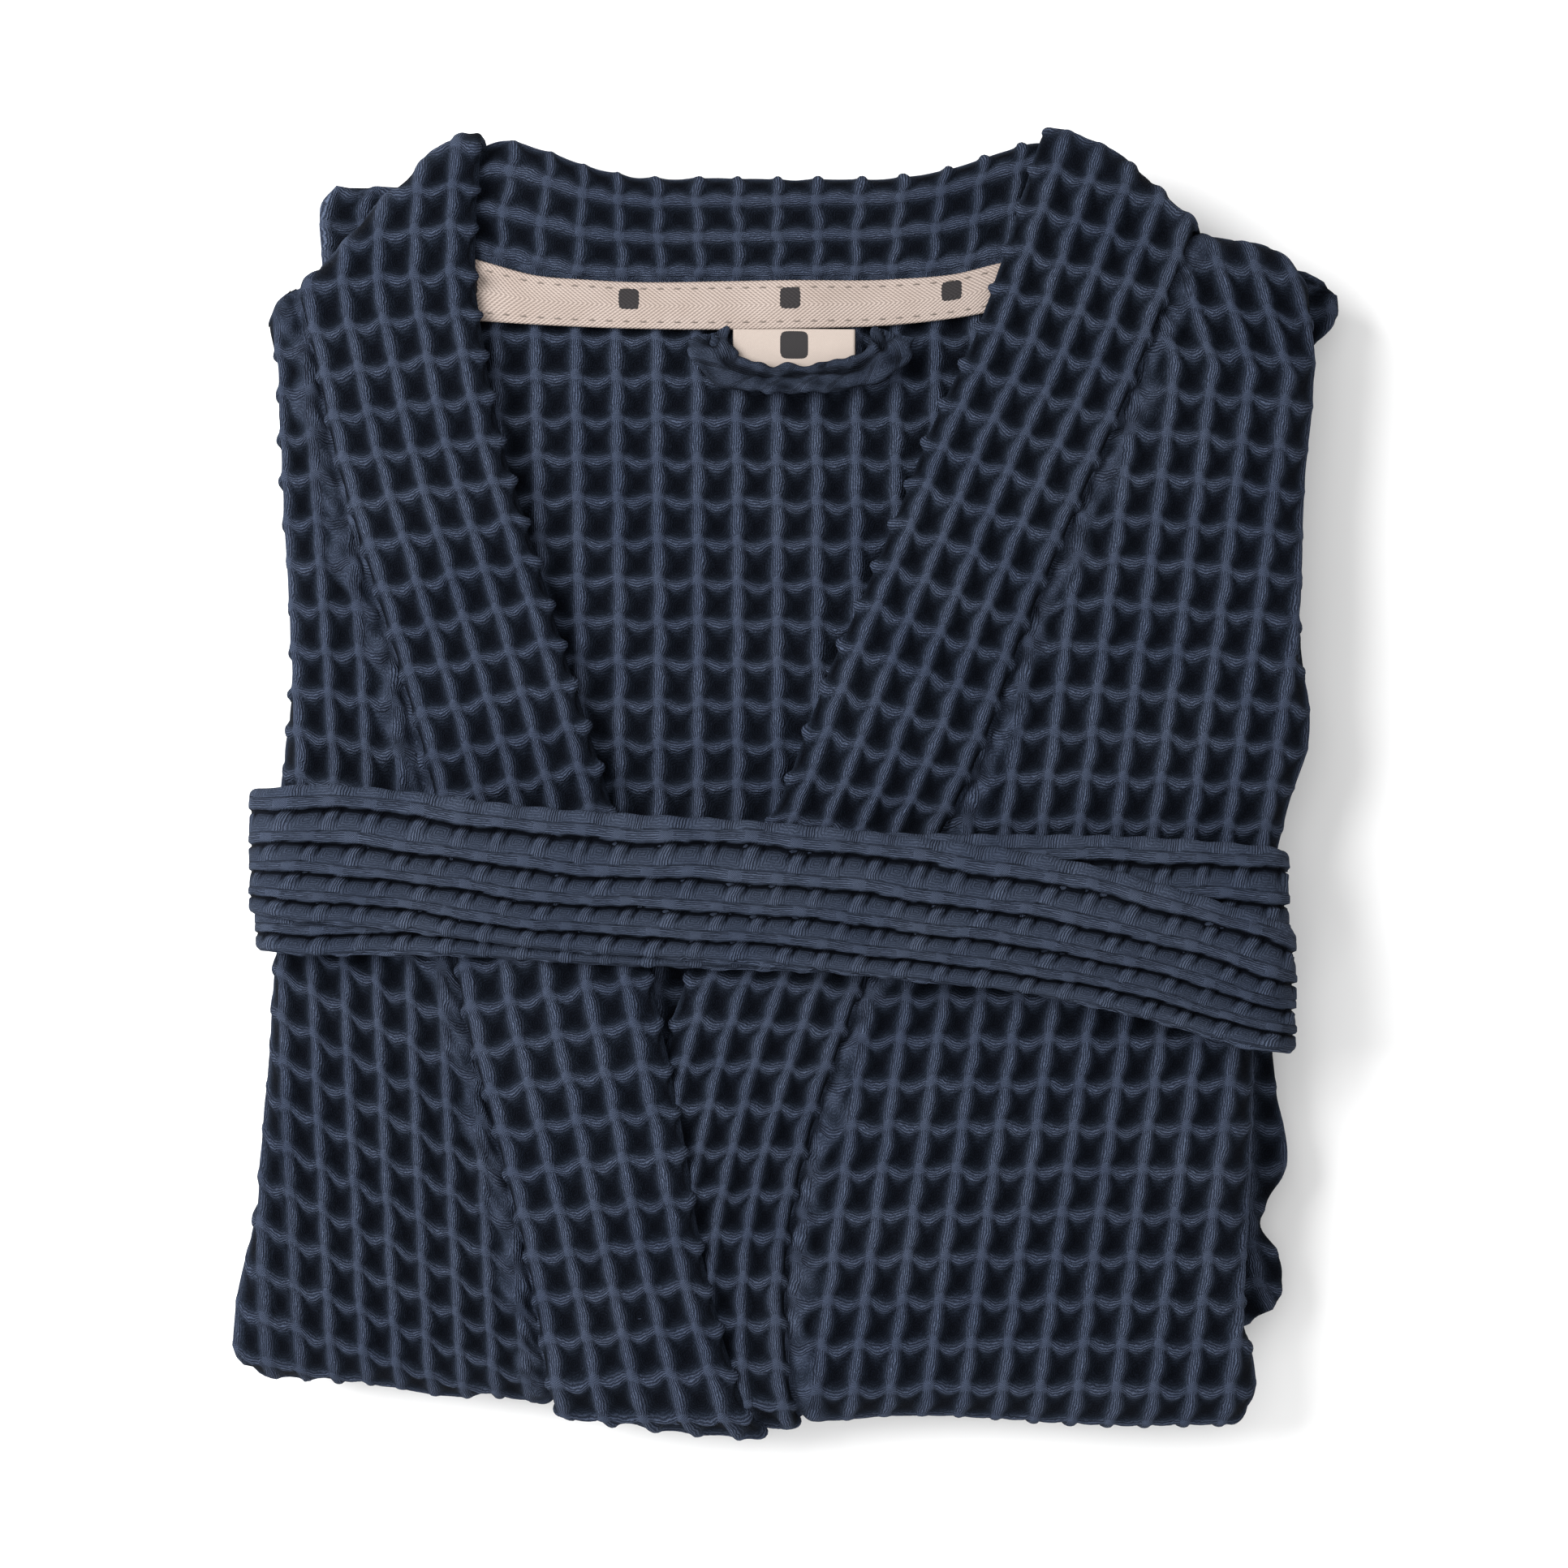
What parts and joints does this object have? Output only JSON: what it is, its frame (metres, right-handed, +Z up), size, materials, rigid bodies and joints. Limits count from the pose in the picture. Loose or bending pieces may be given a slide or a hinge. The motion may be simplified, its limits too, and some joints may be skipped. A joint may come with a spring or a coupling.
{
  "type": "folded bathrobe",
  "caption": "Navy waffle-weave bathrobe folded into a flat packet, shawl collar up, with its belt wound round it and a hanger loop at the neck.",
  "frame": {"origin": "on the surface that the packet lies on, under the middle of its bounding box", "axes": "+Z up out of the packet's front, +Y towards the collar, +X towards the right of a viewer who looks down on it"},
  "size_m": [0.35, 0.4198, 0.054],
  "materials": {
    "waffle_cloth": "large-cell cotton waffle weave, matte",
    "belt_cloth": "cotton waffle weave sewn into a flat tube, matte",
    "herringbone_tape": "cotton herringbone tape, matte",
    "sewing_thread": "cotton sewing thread",
    "label_cloth": "smooth woven label cloth, matte"
  },
  "bodies": {
    "robe": {"back_panel": "waffle_cloth", "left_front": "waffle_cloth", "right_front": "waffle_cloth", "left_collar_band": "waffle_cloth", "right_collar_band": "waffle_cloth", "left_sleeve": "waffle_cloth", "right_sleeve": "waffle_cloth", "neck_tape": "herringbone_tape", "tape_stitches": "sewing_thread"},
    "belt": {"belt": "belt_cloth"},
    "hanger_loop": {"hanger_loop": "waffle_cloth"},
    "sewn_label": {"sewn_label": "label_cloth"}
  },
  "joints": [
    {"name": "belt_slide", "type": "slide", "parent": "robe", "child": "belt", "axis": [0, -1, 0], "range_m": [0, 0.22]},
    {"name": "loop_lift", "type": "hinge", "parent": "robe", "child": "hanger_loop", "pos_m": [0.0055, 0.1467, 0.0387], "axis": [-1, 0, 0], "range_deg": [0, 90]},
    {"name": "label_lift", "type": "hinge", "parent": "robe", "child": "sewn_label", "pos_m": [0.00325, 0.1458, 0.0374], "axis": [-1, 0, 0], "range_deg": [0, 45]}
  ],
  "couplings": [
    {"joint": "label_lift", "follows": "loop_lift", "ratio": 0.5}
  ]
}
